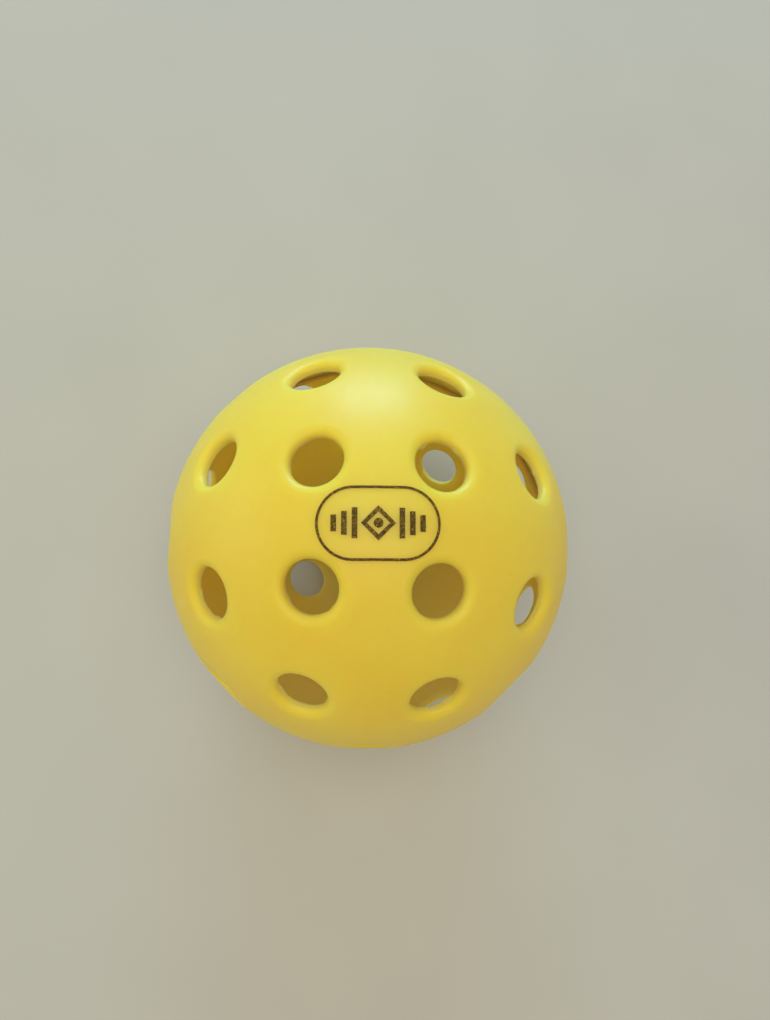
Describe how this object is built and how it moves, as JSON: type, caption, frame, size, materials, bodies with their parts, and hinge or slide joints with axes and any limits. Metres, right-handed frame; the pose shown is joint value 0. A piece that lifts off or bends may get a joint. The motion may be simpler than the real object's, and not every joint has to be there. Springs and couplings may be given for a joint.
{
  "type": "pickleball ball",
  "caption": "Hollow perforated plastic court ball of two welded half shells, with round-lipped holes in rings about a small printed mark.",
  "frame": {"origin": "centre of the ball, in the plane of the weld", "axes": "+Z out through the middle of the printed mark, +X along the length of the mark, +Y across it"},
  "size_m": [0.074, 0.074, 0.0741],
  "materials": {
    "shell": "satin, faintly translucent warm yellow polyethylene",
    "ink": "thin dark brown pad-printed ink"
  },
  "bodies": {
    "root": {"front_half_shell": "shell", "rear_half_shell": "shell", "weld_bead": "shell", "mark_frame": "ink", "mark_device": "ink"}
  },
  "joints": []
}
